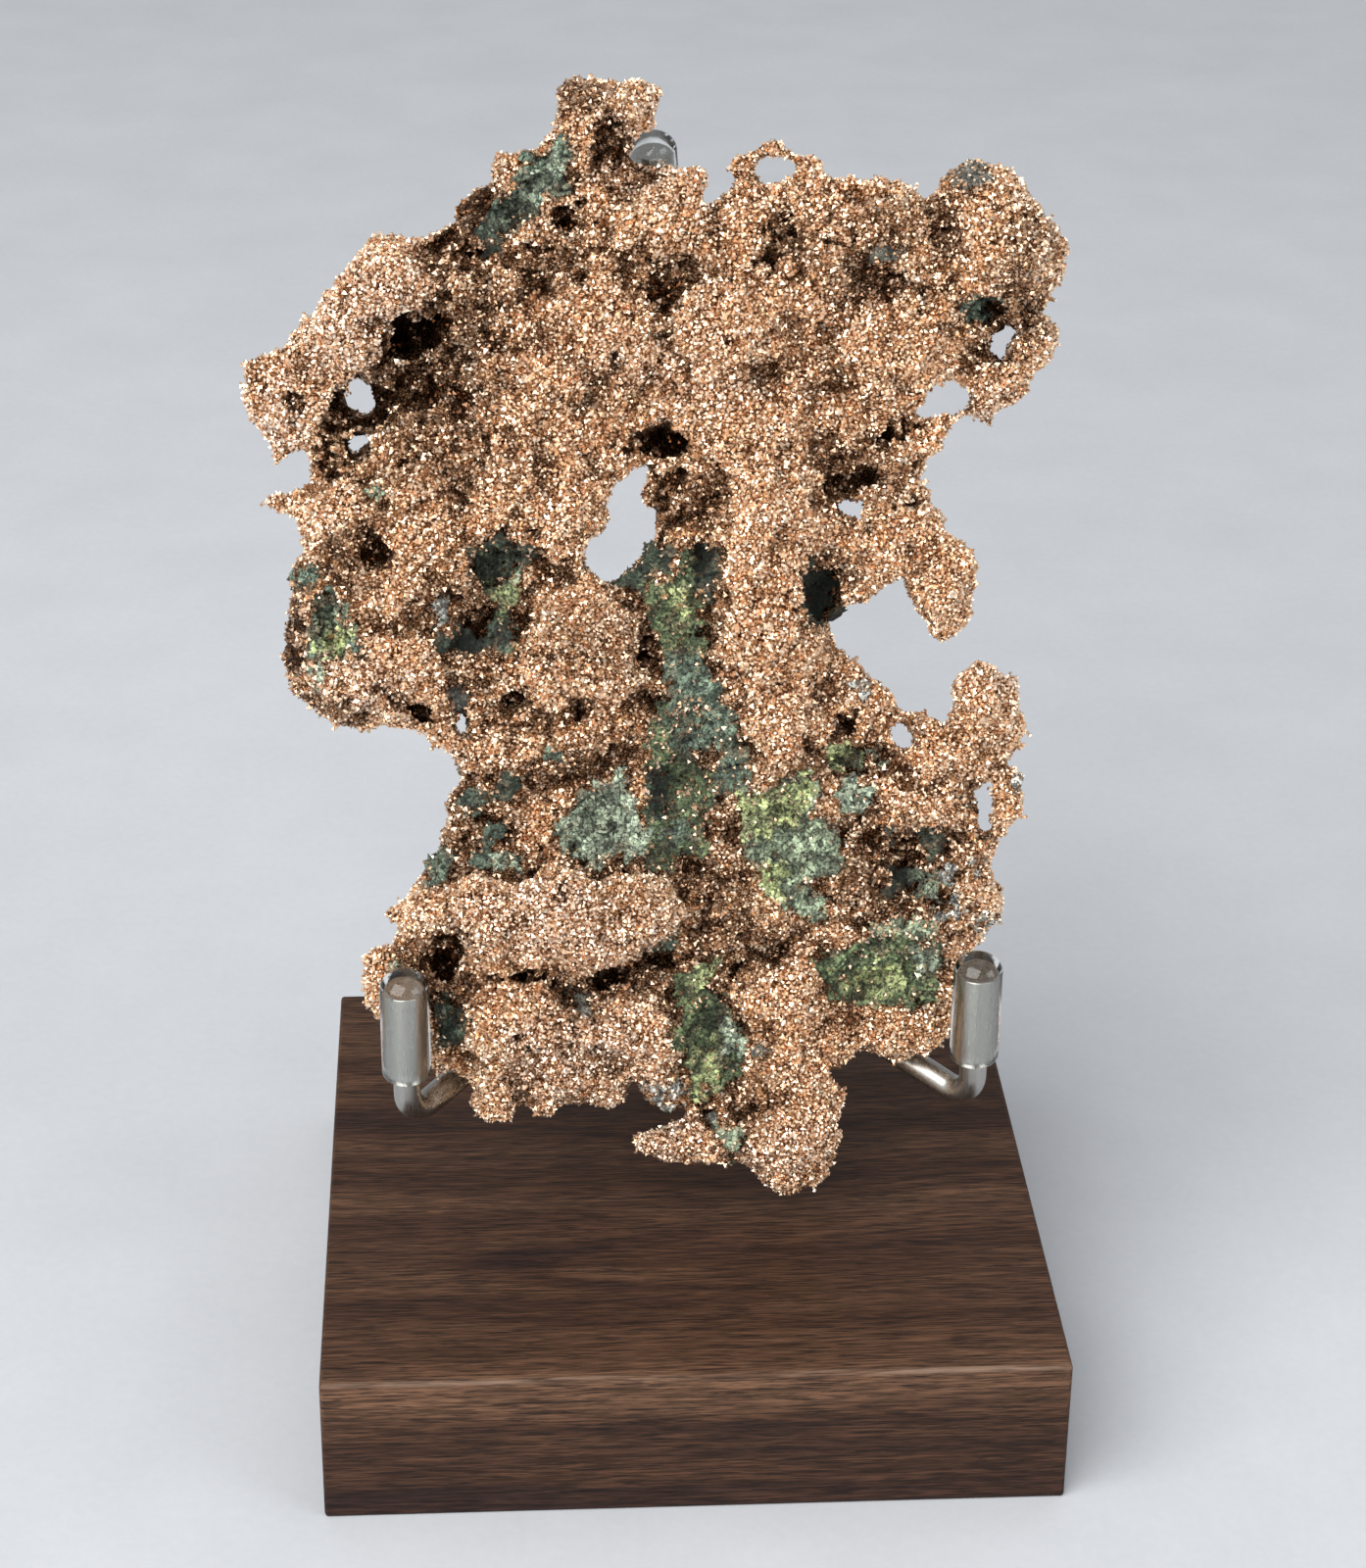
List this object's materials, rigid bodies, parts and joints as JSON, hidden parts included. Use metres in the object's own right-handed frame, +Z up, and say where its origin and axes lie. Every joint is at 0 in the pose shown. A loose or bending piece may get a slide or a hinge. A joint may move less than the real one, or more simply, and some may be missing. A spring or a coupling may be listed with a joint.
{
  "type": "mineral specimen on a stand",
  "caption": "Lumpy native copper nugget with green rock in it, leaning on a bent steel rod stand with clear caps and a square walnut base.",
  "frame": {"origin": "centre of the walnut base's underside", "axes": "+Z up, -Y towards the viewer in front, +X to the viewer's right"},
  "size_m": [0.1114, 0.1016, 0.1809],
  "materials": {
    "walnut": "oiled walnut with an open grain",
    "brushed_steel": "brushed round rod",
    "clear_vinyl": "clear soft vinyl, glossy",
    "native_copper": "bright grainy native copper with green rock in its hollows"
  },
  "bodies": {
    "root": {"copper_nugget": "native_copper", "walnut_base": "walnut", "steel_frame": "brushed_steel", "left_arm_cap": "clear_vinyl", "right_arm_cap": "clear_vinyl", "post_cap": "clear_vinyl"}
  },
  "joints": []
}
